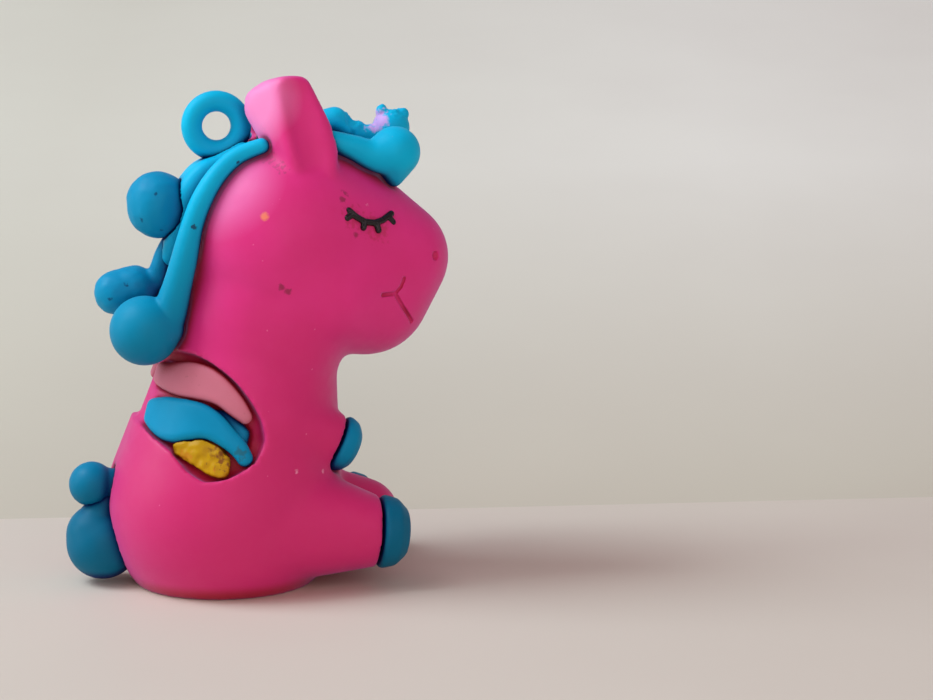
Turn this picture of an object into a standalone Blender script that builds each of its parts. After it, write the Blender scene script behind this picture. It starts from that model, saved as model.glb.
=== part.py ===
"""A soft-PVC unicorn keyring figure: a pink one-piece body with blue, pale pink, yellow and black inlays.

It sits facing -Y with its right side towards -X. Its origin is under the middle of its bounding box, at
the height of its flat base. Soft forms are blocked out from balls: each group of balls is wrapped in its
convex hull, a voxel remesh joins the groups, and smoothing rounds the joins like a moulded fillet. The
body has a socket for every piece that is let into it, larger than the piece by the glue gap.
"""

import math

import bmesh
import bpy
from mathutils import Matrix, Vector

MM = 0.001

# Driving dimensions, in millimetres.
GLUE_GAP = 0.3
LOOP_RADIUS = 2.75
LOOP_WIRE = 1.18
FORE_HOOF_RADIUS = 3.25
FORE_HOOF_HEIGHT = 2.7
HIND_HOOF_RADIUS = 4.15
HIND_HOOF_HEIGHT = 3.7
LASH_WIRE = 0.34
LIP_WIRE = 0.42
BASE_LEVEL = 1.8
MIDDLE = 0.6

PINK = (0.80, 0.030, 0.20)
BLUE = (0.0, 0.26, 0.42)
PALE_PINK = (0.62, 0.20, 0.26)
YELLOW = (0.62, 0.38, 0.02)
BLACK = (0.01, 0.01, 0.012)


def at(forward, right, up):
    """A point given in the figure's own directions, in millimetres.

    Up is counted from BASE_LEVEL below the flat base. MIDDLE is how far forward of the tables' zero the
    middle of the figure's length is.
    """
    return Vector((-right, MIDDLE - forward, up - BASE_LEVEL)) * MM


# ---------------------------------------------------------------- scene and materials


def clear_scene():
    for obj in list(bpy.data.objects):
        bpy.data.objects.remove(obj, do_unlink=True)


def new_collection(name, helpers=False):
    collection = bpy.data.collections.new(name)
    bpy.context.scene.collection.children.link(collection)
    collection.hide_render = helpers
    return collection


def rubber(name, colour):
    material = bpy.data.materials.new(name)
    material.use_nodes = True
    shader = material.node_tree.nodes["Principled BSDF"]
    shader.inputs["Base Color"].default_value = (*colour, 1.0)
    shader.inputs["Roughness"].default_value = 0.45
    shader.inputs["Metallic"].default_value = 0.0
    return material


clear_scene()
PARTS = new_collection("unicorn_keyring_figure")
HELPERS = new_collection("cutters", helpers=True)
RUBBER = {
    "pink": rubber("pink_rubber", PINK),
    "blue": rubber("blue_rubber", BLUE),
    "pale_pink": rubber("pale_pink_rubber", PALE_PINK),
    "yellow": rubber("yellow_rubber", YELLOW),
    "black": rubber("black_rubber", BLACK),
}


def place(name, mesh, colour=None):
    """Puts a mesh in the scene: as a part if it has a colour, else as a helper."""
    obj = bpy.data.objects.new(name, mesh)
    if colour:
        PARTS.objects.link(obj)
        obj.data.materials.append(RUBBER[colour])
    else:
        HELPERS.objects.link(obj)
        obj.hide_render = True
        obj.display_type = "WIRE"
    return obj


# ---------------------------------------------------------------- soft forms from balls


def hull_of_balls(target, balls):
    """Adds the convex hull of some balls, (forward, right, up, radius), to a bmesh."""
    shell = bmesh.new()
    for forward, right, up, radius in balls:
        turn = Matrix.Translation(at(forward, right, up))
        detail = 4 if radius > 6 else 3
        bmesh.ops.create_icosphere(shell, subdivisions=detail, radius=radius * MM, matrix=turn)
    found = bmesh.ops.convex_hull(shell, input=shell.verts)
    bmesh.ops.delete(shell, geom=list(set(found["geom_interior"] + found["geom_unused"])), context="VERTS")
    bmesh.ops.recalc_face_normals(shell, faces=shell.faces)
    mesh = bpy.data.meshes.new("hull")
    shell.to_mesh(mesh)
    shell.free()
    target.from_mesh(mesh)
    bpy.data.meshes.remove(mesh)


def chain(balls):
    """Groups of two neighbours each, so that the hulls follow a bent strand."""
    return [list(pair) for pair in zip(balls, balls[1:])]


def blob(name, groups, colour=None, voxel=0.4, rounds=6, triangles=500):
    """One soft closed form from groups of balls."""
    build = bmesh.new()
    for group in groups:
        hull_of_balls(build, group)
    mesh = bpy.data.meshes.new(name)
    build.to_mesh(mesh)
    build.free()
    obj = place(name, mesh, colour)
    remesh = obj.modifiers.new("join", "REMESH")
    remesh.mode = "VOXEL"
    remesh.voxel_size = voxel * MM
    smooth = obj.modifiers.new("fillet", "SMOOTH")
    smooth.factor = 0.5
    smooth.iterations = rounds
    bake(obj)
    thin = obj.modifiers.new("thin", "DECIMATE")
    thin.ratio = min(1.0, triangles / triangle_count(obj.data))
    bake(obj)
    return obj


def bake(obj):
    """Replaces the object's mesh by what its modifiers make of it."""
    bpy.context.view_layer.update()
    graph = bpy.context.evaluated_depsgraph_get()
    made = bpy.data.meshes.new_from_object(obj.evaluated_get(graph))
    obj.modifiers.clear()
    old = obj.data
    obj.data = made
    made.name = obj.name
    bpy.data.meshes.remove(old)


def triangle_count(mesh):
    mesh.calc_loop_triangles()
    return len(mesh.loop_triangles)


def cut(obj, cutter, operation="DIFFERENCE"):
    boolean = obj.modifiers.new(operation.lower() + "_" + cutter.name, "BOOLEAN")
    boolean.object = cutter
    boolean.operation = operation
    boolean.use_self = True
    bake(obj)


def grown(obj):
    """A cutter the shape of obj, larger by the glue gap all round."""
    mesh = obj.data.copy()
    moved = [v.co + v.normal * GLUE_GAP * MM for v in obj.data.vertices]
    for vertex, place_now in zip(mesh.vertices, moved):
        vertex.co = place_now
    mesh.materials.clear()
    return place("cut_" + obj.name, mesh)


def mirrored(groups):
    """The same groups of balls on the other side."""
    return [[(f, -r, u, radius) for f, r, u, radius in group] for group in groups]


def shifted(groups, forward, up=0.0):
    """The same groups of balls further forward and up."""
    return [[(f + forward, r, u + up, radius) for f, r, u, radius in group] for group in groups]


def half_space(name, point, normal, size=60.0):
    """A box whose one face passes through point, on the side that normal points to."""
    build = bmesh.new()
    bmesh.ops.create_cube(build, size=size * MM)
    direction = (at(*normal) - at(0, 0, 0)).normalized()
    turn = direction.to_track_quat("Z", "Y").to_matrix().to_4x4()
    shift = Matrix.Translation(at(*point) + direction * (size / 2) * MM)
    bmesh.ops.transform(build, matrix=shift @ turn, verts=build.verts)
    mesh = bpy.data.meshes.new(name)
    build.to_mesh(mesh)
    build.free()
    return place(name, mesh)


# ---------------------------------------------------------------- where everything is

# Every ball is (forward, right, up, radius). Tables marked RIGHT are mirrored for the left side.
HEAD = [
    (3.8, 0.4, 40.2, 11.8),
    (3.8, -0.4, 40.2, 11.8),
    (16.1, 1.4, 38.1, 6.35),
    (16.1, -1.4, 38.1, 6.35),
    (9.0, 0.5, 42.6, 7.6),
    (9.0, -0.5, 42.6, 7.6),
    (12.9, 1.0, 34.4, 7.5),
    (12.9, -1.0, 34.4, 7.5),
    (7.5, 4.2, 35.8, 7.6),
    (7.5, -4.2, 35.8, 7.6),
]
TRUNK = [(-3.4, 1.2, 10.2, 13.2), (-3.4, -1.2, 10.2, 13.2), (-0.3, 0.0, 27.0, 9.9)]
NECK = [
    (-0.3, 0.0, 27.0, 9.9),
    (2.6, 0.5, 36.5, 10.4),
    (2.6, -0.5, 36.5, 10.4),
    (4.6, 3.6, 35.0, 7.6),
    (4.6, -3.6, 35.0, 7.6),
]
LAP = [(3.0, 0.0, 9.0, 6.5), (12.7, -0.4, 7.9, 4.3)]
ARM_RIGHT = [(1.0, 7.0, 20.6, 4.6), (7.0, 5.6, 18.7, 3.25), (8.3, 5.6, 18.1, 3.1)]
ARM_LEFT = [(1.0, -7.0, 20.6, 4.6), (6.1, -5.6, 18.3, 3.25), (7.3, -5.6, 17.7, 3.1)]
LEG_RIGHT = [(-1.5, 5.9, 9.9, 8.0), (7.0, 8.0, 8.5, 4.6), (12.4, 8.2, 7.9, 3.95)]
LEG_LEFT = [(-1.5, -5.9, 9.9, 8.0), (7.0, -8.0, 8.1, 4.6), (11.7, -8.2, 7.2, 3.95)]

# The ears are moulded with the head; each has a shallow hollow in its outer front face.
EAR_RIGHT = [
    (2.0, 3.2, 56.8, 1.3),
    (0.6, 3.2, 55.9, 1.3),
    (0.5, 3.3, 54.9, 1.3),
    (3.3, 5.9, 58.0, 0.6),
    (5.2, 4.8, 57.5, 1.1),
    (3.3, 6.3, 55.0, 0.7),
    (6.4, 5.3, 55.0, 1.0),
    (1.6, 4.0, 53.0, 1.3),
    (3.2, 7.2, 52.8, 0.7),
    (7.3, 5.9, 52.9, 1.1),
    (2.8, 5.2, 50.6, 1.3),
    (3.7, 7.9, 50.6, 0.8),
    (7.8, 6.4, 50.6, 1.2),
    (4.2, 6.8, 48.2, 1.3),
    (4.4, 8.2, 48.2, 0.9),
    (7.5, 7.2, 48.3, 1.3),
    (6.2, 8.0, 47.2, 1.2),
]
EAR_HOLLOW_RIGHT = [(4.9, 8.8, 57.4, 3.0), (6.4, 10.6, 50.6, 3.0), (6.6, 11.4, 48.0, 3.0)]
EAR_LEFT_SHIFT = (1.2, -1.7)

LOCK_RIGHT = [
    (0.7, 6.1, 51.1, 0.9),
    (-2.0, 5.9, 50.0, 1.0),
    (-4.3, 6.4, 48.0, 1.1),
    (-6.0, 6.8, 45.4, 1.2),
    (-7.1, 6.8, 42.6, 1.25),
    (-7.9, 6.6, 39.4, 1.45),
    (-8.7, 6.0, 36.2, 1.6),
    (-9.5, 5.4, 33.4, 1.9),
    (-10.4, 5.0, 31.6, 2.3),
]
LOCK_BALL_RIGHT = [(-10.6, 5.0, 31.4, 2.6), (-12.3, 4.7, 31.0, 3.85)]
LOCK_LEFT_SHIFT = 1.1
CREST = [
    [(-0.8, 1.4, 50.4, 0.9), (-0.8, -1.4, 50.4, 0.9)],
    [(-3.3, 1.2, 48.9, 1.1), (-3.3, -1.2, 48.9, 1.1)],
    [(-5.3, 1.5, 47.8, 1.3), (-5.3, -1.5, 47.8, 1.3)],
    [(-6.9, 1.6, 45.7, 1.4), (-6.9, -1.6, 45.7, 1.4)],
    [(-7.9, 1.4, 43.2, 1.4), (-7.9, -1.4, 43.2, 1.4)],
    [(-8.3, 1.0, 40.6, 1.3), (-8.3, -1.2, 40.6, 1.3)],
    [(-8.8, 0.2, 38.6, 1.1), (-8.8, -0.8, 38.6, 1.1)],
]
CURL_UPPER = [(-7.9, 0.0, 44.7, 2.0), (-10.2, 0.0, 44.7, 3.4), (-10.1, 0.0, 44.1, 3.45)]
CURL_MIDDLE = [(-8.7, -0.8, 40.4, 1.0), (-9.7, -1.1, 38.0, 1.1), (-10.4, -1.4, 36.0, 1.1)]
CURL_MIDDLE_BALL = [
    [(-10.5, -1.5, 35.8, 1.1), (-12.6, -2.0, 34.9, 2.0)],
    [(-12.7, -2.0, 34.9, 2.55), (-14.8, -2.0, 34.4, 2.5)],
]
LOOP_CENTRE = (-3.5, 0.0, 53.0)

FORELOCK_RIGHT = [
    (4.6, 3.9, 52.0, 1.1),
    (8.2, 4.9, 51.5, 1.2),
    (11.0, 4.9, 50.7, 1.4),
    (13.4, 4.6, 49.8, 1.8),
    (15.9, 4.0, 50.1, 2.85),
]
FORELOCK_TIP = [(15.9, 4.0, 50.1, 2.85), (15.9, 3.4, 47.1, 1.0)]
FORELOCK_LEFT = [
    (4.6, -2.9, 52.4, 1.1),
    (8.2, -2.7, 52.9, 1.4),
    (10.2, -2.5, 53.3, 1.55),
    (11.2, -2.5, 52.6, 1.2),
]
FORELOCK_TORN = [
    [(10.6, -2.5, 52.0, 0.9), (12.7, -2.5, 52.5, 0.9)],
    [(12.6, -2.5, 52.0, 0.9), (15.0, -2.6, 51.3, 0.9), (16.8, -2.8, 51.6, 1.2)],
    [(16.8, -2.8, 52.4, 2.15)],
    [(16.6, -2.8, 53.0, 1.2), (15.8, -2.8, 54.2, 0.8)],
    [(17.2, -2.8, 53.0, 1.3), (18.1, -2.8, 53.9, 0.8)],
]
FORELOCK_BASE = [
    [(2.0, 0.9, 51.6, 1.0), (2.0, -0.9, 51.6, 1.0)],
    [(8.4, 1.0, 51.4, 1.1), (8.4, -0.4, 51.4, 1.1)],
    [(12.0, 1.2, 50.0, 1.0), (12.0, 0.2, 50.0, 1.0)],
]

LASH_RIGHT = [
    (9.6, 9.8, 44.2),
    (10.4, 9.8, 43.5),
    (11.4, 9.5, 42.9),
    (12.6, 9.0, 42.7),
    (13.6, 8.3, 42.9),
    (14.8, 7.2, 43.5),
]
LASH_HAIRS = [
    [(10.0, 9.8, 43.8), (9.3, 10.2, 43.4)],
    [(11.4, 9.5, 42.9), (11.2, 9.8, 42.3)],
    [(12.8, 8.9, 42.7), (13.0, 9.1, 41.9)],
    [(14.4, 7.6, 43.2), (14.9, 7.6, 42.6)],
]
MOUTH_RIGHT = [
    [(16.0, 8.4, 36.4), (15.6, 8.4, 35.5), (14.9, 8.7, 34.8)],
    [(13.3, 9.5, 34.8), (14.9, 8.7, 34.8)],
    [(14.9, 8.7, 34.8), (15.8, 7.9, 33.4), (17.3, 6.1, 31.2)],
]
NOSTRIL_RIGHT = (20.1, 6.4, 38.6)

# Wings: points near the right side of the trunk. A feather is rows of its upper and lower edge from the
# back to its tip, and its slab is (half its thickness, how deep its middle lies under the trunk's skin).
FEATHER_UPPER = [
    ((-11.0, 1.6, 26.6), (-11.3, 2.0, 25.5)),
    ((-10.3, 3.8, 26.8), (-10.7, 4.6, 25.2)),
    ((-9.0, 5.8, 27.1), (-9.5, 7.0, 24.9)),
    ((-7.2, 7.6, 27.1), (-7.9, 8.8, 24.8)),
    ((-5.7, 8.9, 26.6), (-6.3, 9.9, 24.6)),
    ((-4.3, 9.9, 25.5), (-4.9, 10.7, 24.1)),
    ((-3.0, 10.8, 23.9), (-3.4, 11.2, 23.0)),
    ((-2.1, 11.5, 22.3), (-2.2, 11.5, 22.2)),
]
FEATHER_UPPER_SLAB = (0.75, 1.0)
FEATHER_MIDDLE = [
    ((-12.2, 3.9, 22.8), (-12.5, 4.4, 21.4)),
    ((-11.0, 6.2, 23.3), (-11.5, 7.2, 20.4)),
    ((-9.7, 7.7, 23.3), (-10.2, 9.0, 20.2)),
    ((-8.2, 8.9, 23.2), (-8.7, 9.9, 20.5)),
    ((-6.6, 10.0, 22.7), (-7.1, 10.8, 20.8)),
    ((-5.2, 10.9, 21.7), (-5.8, 11.4, 20.5)),
    ((-4.1, 11.7, 20.4), (-4.5, 11.9, 19.8)),
    ((-3.0, 12.3, 19.2), (-3.3, 12.4, 18.9)),
    ((-2.3, 12.8, 17.9), (-2.4, 12.8, 17.8)),
]
FEATHER_MIDDLE_SLAB = (0.85, 0.9)
FEATHER_UNDERLAY = [
    ((-6.4, 10.2, 22.6), (-6.6, 10.4, 22.2)),
    ((-4.2, 11.0, 22.2), (-4.6, 11.5, 20.8)),
    ((-2.3, 12.0, 20.6), (-2.7, 12.2, 19.4)),
]
FEATHER_UNDERLAY_SLAB = (0.7, 2.1)
FEATHER_LOWER = [
    ((-9.9, 9.2, 19.4), (-9.7, 9.9, 18.5)),
    ((-8.6, 10.3, 19.8), (-8.7, 11.3, 17.8)),
    ((-7.4, 11.2, 19.8), (-7.5, 12.0, 17.2)),
    ((-6.2, 11.8, 19.6), (-6.2, 12.6, 16.8)),
    ((-5.1, 12.3, 19.0), (-5.0, 13.0, 16.4)),
    ((-4.3, 12.6, 18.2), (-4.5, 12.9, 17.2)),
]
FEATHER_LOWER_SLAB = (0.6, 1.15)
# The pocket's upper and lower edge from the back's middle to its front, and its depth there.
POCKET_ROWS = [
    ((-10.6, -0.3, 27.6), (-13.2, -0.3, 21.2), 0.5),
    ((-10.4, 2.6, 27.9), (-13.0, 3.2, 21.4), 0.9),
    ((-9.2, 4.9, 28.0), (-12.0, 6.5, 20.7), 1.7),
    ((-7.7, 6.9, 27.9), (-9.9, 10.0, 19.1), 2.0),
    ((-6.1, 8.4, 27.2), (-8.4, 11.9, 17.2), 2.1),
    ((-4.0, 10.0, 25.6), (-6.9, 12.8, 16.3), 2.1),
    ((-2.3, 11.1, 23.5), (-4.9, 13.1, 16.5), 2.1),
    ((-1.2, 11.8, 21.5), (-3.2, 13.0, 17.2), 2.1),
    ((-0.9, 12.3, 19.8), (-1.7, 12.8, 18.3), 2.1),
]
POCKET_BALL = 0.8

# Centre of the cap's flat side, direction it faces, radius and height.
FORE_HOOF_RIGHT = ((8.7, 5.6, 17.85), (0.89, 0.0, -0.456), FORE_HOOF_RADIUS, FORE_HOOF_HEIGHT)
FORE_HOOF_LEFT = ((7.7, -5.6, 17.45), (0.89, 0.0, -0.456), FORE_HOOF_RADIUS, FORE_HOOF_HEIGHT)
HIND_HOOF_RIGHT = ((13.0, 8.2, 7.9), (0.995, 0.0, -0.10), HIND_HOOF_RADIUS, HIND_HOOF_HEIGHT)
HIND_HOOF_LEFT = ((12.3, -8.2, 7.2), (0.995, 0.0, -0.10), HIND_HOOF_RADIUS, HIND_HOOF_HEIGHT)
TAIL_LOWER = [
    [(-17.1, 0.0, 6.3, 4.1), (-17.8, 0.0, 7.3, 3.4)],
    [(-17.3, 0.0, 9.2, 2.4), (-16.4, 0.0, 11.8, 1.2)],
]
TAIL_UPPER = [
    [(-18.2, 0.0, 13.1, 2.55)],
    [(-18.2, 0.0, 13.1, 1.8), (-15.9, 0.0, 12.9, 1.9)],
]


# ---------------------------------------------------------------- shapes made from those


def curve(balls, steps=3):
    """The same strand with balls added between, so that it bends smoothly through every given ball."""
    ends = [balls[0]] + balls + [balls[-1]]
    made = []
    for before, here, there, after in zip(ends, ends[1:], ends[2:], ends[3:]):
        for step in range(steps):
            t = step / steps
            made.append(
                tuple(
                    b + 0.5 * t * (c - a + t * (2 * a - 5 * b + 4 * c - d + t * (3 * b - a - 3 * c + d)))
                    for a, b, c, d in zip(before, here, there, after)
                )
            )
    return made + [balls[-1]]


def wire(path, radius):
    """Hull groups of a round strand of one radius."""
    return chain([(*point, radius) for point in path])


def rungs(rows):
    """Hull groups of a slab that follows rows of balls."""
    return [first + second for first, second in zip(rows, rows[1:])]


def sunk(point, depth):
    """The point this far under the trunk's surface that lies straight below the given one."""
    low, _, top = TRUNK
    point = Vector(point)
    best = None
    for step in range(41):
        share = step / 40
        forward, spread, up, radius = (a + (b - a) * share for a, b in zip(low, top))
        centre = Vector((forward, max(-spread, min(spread, point.y)), up))
        away = (point - centre).length - radius
        if best is None or away < best[0]:
            best = (away, centre, radius)
    _, centre, radius = best
    return tuple(centre + (point - centre).normalized() * (radius - depth))


def feather(rows, slab):
    """Hull groups of a flat feather that follows the side of the trunk."""
    half, depth = slab
    flat = curve([(*upper, *lower) for upper, lower in rows], 2)
    return rungs([[(*sunk(row[:3], depth), half), (*sunk(row[3:], depth), half)] for row in flat])


def pocket():
    """Hull groups of the steep-walled pocket that the right wing lies in."""
    rows = []
    for upper, lower, depth in POCKET_ROWS:
        bottom = depth - POCKET_BALL
        rows.append([(*sunk(point, d), POCKET_BALL) for point in (upper, lower) for d in (bottom, -1.0)])
    return rungs(rows)


def hoof(centre, axis, radius, height):
    """Hull groups of a domed cap with a tapered peg behind it."""
    centre = Vector(centre)
    axis = Vector(axis).normalized()
    across = axis.orthogonal().normalized()
    along = axis.cross(across)
    edge = 0.5
    dome = []
    for reach, rise, count in ((1.0, 0.0, 14), (0.92, 0.44, 12), (0.66, 0.8, 8), (0.0, 1.0, 1)):
        for step in range(count):
            turn = 2 * math.pi * step / count
            out = (across * math.cos(turn) + along * math.sin(turn)) * (radius - edge) * reach
            dome.append((*(centre + out + axis * (edge + rise * (height - 2 * edge))), edge))
    peg = [(*(centre + axis * 0.9), radius * 0.55), (*(centre - axis * 1.2), radius * 0.4)]
    return [dome, peg]


def torus(name, centre, colour):
    """The keyring loop, standing in the middle plane with its hole across the figure."""
    bpy.ops.mesh.primitive_torus_add(
        major_segments=24,
        minor_segments=8,
        major_radius=LOOP_RADIUS * MM,
        minor_radius=LOOP_WIRE * MM,
        location=at(*centre),
        rotation=(0, math.pi / 2, 0),
    )
    made = bpy.context.object
    bpy.context.view_layer.update()
    mesh = made.data.copy()
    mesh.transform(made.matrix_world)
    bpy.data.objects.remove(made)
    build = bmesh.new()
    build.from_mesh(mesh)
    bmesh.ops.triangulate(build, faces=build.faces)
    build.to_mesh(mesh)
    build.free()
    return place(name, mesh, colour)


# ---------------------------------------------------------------- building


def lashes(radius):
    """Hull groups of the closed right eye: the lid line and its four hairs."""
    return [group for line in [LASH_RIGHT] + LASH_HAIRS for group in wire(line, radius)]


# Groups of balls, colour and triangles of every piece that is let into the body.
SHAPES = {
    "forelock_base": (rungs(FORELOCK_BASE), "blue", 180),
    "mane_upper_curl": ([CURL_UPPER], "blue", 240),
    "mane_middle_curl": (chain(curve(CURL_MIDDLE)) + CURL_MIDDLE_BALL, "blue", 280),
    "mane_crest": (rungs(CREST), "blue", 320),
    "tail_lower_curl": (TAIL_LOWER, "blue", 280),
    "tail_upper_curl": (TAIL_UPPER, "blue", 200),
    "forelock_right": (chain(curve(FORELOCK_RIGHT)) + [FORELOCK_TIP], "blue", 300),
    "forelock_left": (chain(FORELOCK_LEFT) + FORELOCK_TORN, "blue", 340),
    "fore_hoof_right": (hoof(*FORE_HOOF_RIGHT), "blue", 190),
    "fore_hoof_left": (hoof(*FORE_HOOF_LEFT), "blue", 190),
    "hind_hoof_right": (hoof(*HIND_HOOF_RIGHT), "blue", 200),
    "hind_hoof_left": (hoof(*HIND_HOOF_LEFT), "blue", 200),
}
LOCK = chain(curve(LOCK_RIGHT)) + [LOCK_BALL_RIGHT]
SHAPES["mane_lock_right"] = (LOCK, "blue", 400)
SHAPES["mane_lock_left"] = (shifted(mirrored(LOCK), LOCK_LEFT_SHIFT), "blue", 400)
for side, turned in (("right", list), ("left", mirrored)):
    SHAPES["eye_" + side] = (turned(lashes(LASH_WIRE)), "black", 260)
    SHAPES["feather_upper_" + side] = (turned(feather(FEATHER_UPPER, FEATHER_UPPER_SLAB)), "pale_pink", 220)
    rows = FEATHER_MIDDLE if side == "right" else FEATHER_MIDDLE[1:]
    middle = feather(rows, FEATHER_MIDDLE_SLAB) + feather(FEATHER_UNDERLAY, FEATHER_UNDERLAY_SLAB)
    SHAPES["feather_middle_" + side] = (turned(middle), "blue", 300)
    SHAPES["feather_lower_" + side] = (turned(feather(FEATHER_LOWER, FEATHER_LOWER_SLAB)), "yellow", 180)

# Which neighbours a piece makes room for; the body makes room for all of them.
MAKES_ROOM_FOR = {
    "mane_crest": [
        "mane_upper_curl",
        "mane_middle_curl",
        "mane_lock_right",
        "mane_lock_left",
        "keyring_loop",
    ],
    "mane_middle_curl": ["mane_upper_curl", "mane_lock_right", "mane_lock_left"],
    "forelock_base": ["forelock_right", "forelock_left", "mane_crest"],
    "tail_upper_curl": ["tail_lower_curl"],
}
for side in ("right", "left"):
    MAKES_ROOM_FOR["feather_middle_" + side] = ["feather_upper_" + side]
    MAKES_ROOM_FOR["feather_lower_" + side] = ["feather_middle_" + side]


def build_parts():
    parts = {"keyring_loop": torus("keyring_loop", LOOP_CENTRE, "blue")}
    for name, (groups, colour, triangles) in SHAPES.items():
        thin = min(ball[3] for group in groups for ball in group) < 0.5
        parts[name] = blob(name, groups, colour, 0.14 if thin else 0.3, 2, triangles)
    cutters = {name: grown(part) for name, part in parts.items() if not name.startswith("eye")}
    for side, turned in (("right", list), ("left", mirrored)):
        wider = turned(lashes(LASH_WIRE + GLUE_GAP))
        cutters["eye_" + side] = blob("cut_eye_" + side, wider, None, 0.2, 1, 180)
    for name, neighbours in MAKES_ROOM_FOR.items():
        for neighbour in neighbours:
            cut(parts[name], cutters[neighbour])

    ears = {"right": [EAR_RIGHT], "left": shifted(mirrored([EAR_RIGHT]), *EAR_LEFT_SHIFT)}
    hollows = {"right": chain(EAR_HOLLOW_RIGHT)}
    hollows["left"] = shifted(mirrored(hollows["right"]), *EAR_LEFT_SHIFT)
    groups = [HEAD, TRUNK, NECK, LAP, ARM_RIGHT, ARM_LEFT, LEG_RIGHT, LEG_LEFT] + ears["right"] + ears["left"]
    body = blob("body", groups, "pink", voxel=0.4, rounds=6, triangles=3400)
    cut(body, half_space("table", (0, 0, BASE_LEVEL), (0, 0, -1)))
    for side, turned in (("right", list), ("left", mirrored)):
        cut(body, blob("cut_ear_" + side, hollows[side], None, 0.4, 2, 240))
        cut(body, blob("cut_pocket_" + side, turned(pocket()), None, 0.3, 3, 300))
        lips = turned([group for line in MOUTH_RIGHT for group in wire(line, LIP_WIRE)])
        cut(body, blob("cut_mouth_" + side, lips, None, 0.2, 1, 140))
        nostril = turned([[(*NOSTRIL_RIGHT, 0.7)]])
        cut(body, blob("cut_nostril_" + side, nostril, None, 0.25, 1, 60))
    for cutter in cutters.values():
        cut(body, cutter)
    for part in PARTS.objects:
        part.data.shade_smooth()


build_parts()
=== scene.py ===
"""Looks of the soft-PVC unicorn keyring figure: fine smooth forms, moulded detail, wear and PVC materials.

Every piece is blocked out from balls given in millimetres as (forward, right, up, radius), the same way
as its CAD solid, then wrapped in hulls, joined by a fine voxel remesh and smoothed.
"""

import math

import bmesh
import bpy
from mathutils import Matrix, Vector, noise


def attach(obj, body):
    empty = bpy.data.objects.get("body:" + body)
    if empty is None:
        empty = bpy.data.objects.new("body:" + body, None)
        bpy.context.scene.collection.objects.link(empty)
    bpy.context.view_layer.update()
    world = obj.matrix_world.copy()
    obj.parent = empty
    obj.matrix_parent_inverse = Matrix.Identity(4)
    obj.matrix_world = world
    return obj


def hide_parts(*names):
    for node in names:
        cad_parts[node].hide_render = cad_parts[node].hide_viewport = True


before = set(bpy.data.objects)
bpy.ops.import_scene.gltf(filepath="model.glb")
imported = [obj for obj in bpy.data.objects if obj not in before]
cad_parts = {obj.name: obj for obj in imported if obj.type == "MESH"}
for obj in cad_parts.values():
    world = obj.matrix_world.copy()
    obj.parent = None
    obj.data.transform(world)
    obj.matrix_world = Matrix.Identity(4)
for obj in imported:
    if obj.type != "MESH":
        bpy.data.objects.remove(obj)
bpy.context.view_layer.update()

MM = 0.001
BASE_LEVEL = 1.8
MIDDLE = 0.6
GAP = 0.33
# Voxels of the finished pieces and of the finished body, in millimetres.
FINE = 0.17
BODY_VOXEL = 0.30

# Sizes shared with the CAD, in millimetres.
LOOP_RADIUS, LOOP_WIRE = 2.75, 1.18
FORE_HOOF_RADIUS, FORE_HOOF_HEIGHT = 3.25, 2.7
HIND_HOOF_RADIUS, HIND_HOOF_HEIGHT = 4.15, 3.7
LASH_WIRE, LIP_WIRE = 0.39, 0.28


def at(forward, right, up):
    """A point given in the figure's own directions, in millimetres, as in the CAD."""
    return Vector((-right, MIDDLE - forward, up - BASE_LEVEL)) * MM


# ---------------------------------------------------------------- soft forms


def place(name, mesh):
    """Puts a mesh in the scene as an object."""
    obj = bpy.data.objects.new(name, mesh)
    bpy.context.scene.collection.objects.link(obj)
    return obj


def bake(obj):
    """Replaces the object's mesh by what its modifiers make of it."""
    bpy.context.view_layer.update()
    graph = bpy.context.evaluated_depsgraph_get()
    made = bpy.data.meshes.new_from_object(obj.evaluated_get(graph))
    obj.modifiers.clear()
    old = obj.data
    obj.data = made
    bpy.data.meshes.remove(old)


def hull_of_balls(target, balls):
    """Adds one convex skin round all the balls to the bmesh target."""
    shell = bmesh.new()
    for forward, right, up, radius in balls:
        detail = 5 if radius > 6 else 4 if radius > 2.4 else 3 if radius > 0.5 else 2
        turn = Matrix.Translation(at(forward, right, up))
        bmesh.ops.create_icosphere(shell, subdivisions=detail, radius=radius * MM, matrix=turn)
    found = bmesh.ops.convex_hull(shell, input=shell.verts)
    bmesh.ops.delete(shell, geom=list(set(found["geom_interior"] + found["geom_unused"])), context="VERTS")
    bmesh.ops.recalc_face_normals(shell, faces=shell.faces)
    mesh = bpy.data.meshes.new("hull")
    shell.to_mesh(mesh)
    shell.free()
    target.from_mesh(mesh)
    bpy.data.meshes.remove(mesh)


def soften(obj, voxel, rounds):
    """Joins whatever the mesh holds into one skin and rounds its edges."""
    remesh = obj.modifiers.new("join", "REMESH")
    remesh.mode = "VOXEL"
    remesh.voxel_size = voxel * MM
    remesh.use_smooth_shade = True
    smooth = obj.modifiers.new("fillet", "SMOOTH")
    smooth.factor = 0.5
    smooth.iterations = rounds
    bake(obj)


def add_groups(obj, groups):
    """Adds a hull for each group of balls to the object's mesh."""
    build = bmesh.new()
    build.from_mesh(obj.data)
    for group in groups:
        hull_of_balls(build, group)
    build.to_mesh(obj.data)
    build.free()


def blob(name, groups, voxel=FINE, rounds=8):
    """One smooth closed form from groups of balls."""
    obj = place(name, bpy.data.meshes.new(name))
    add_groups(obj, groups)
    soften(obj, voxel, rounds)
    return obj


def grown(groups, by):
    """The same form with every ball larger."""
    return [[(f, r, u, radius + by) for f, r, u, radius in group] for group in groups]


def mirrored(groups):
    """The same form on the figure's other side."""
    return [[(f, -r, u, radius) for f, r, u, radius in group] for group in groups]


def shifted(groups, forward, up=0.0):
    return [[(f + forward, r, u + up, radius) for f, r, u, radius in group] for group in groups]


def chain(balls):
    """Groups of a strand that runs straight from ball to ball."""
    return [list(pair) for pair in zip(balls, balls[1:])]


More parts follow.
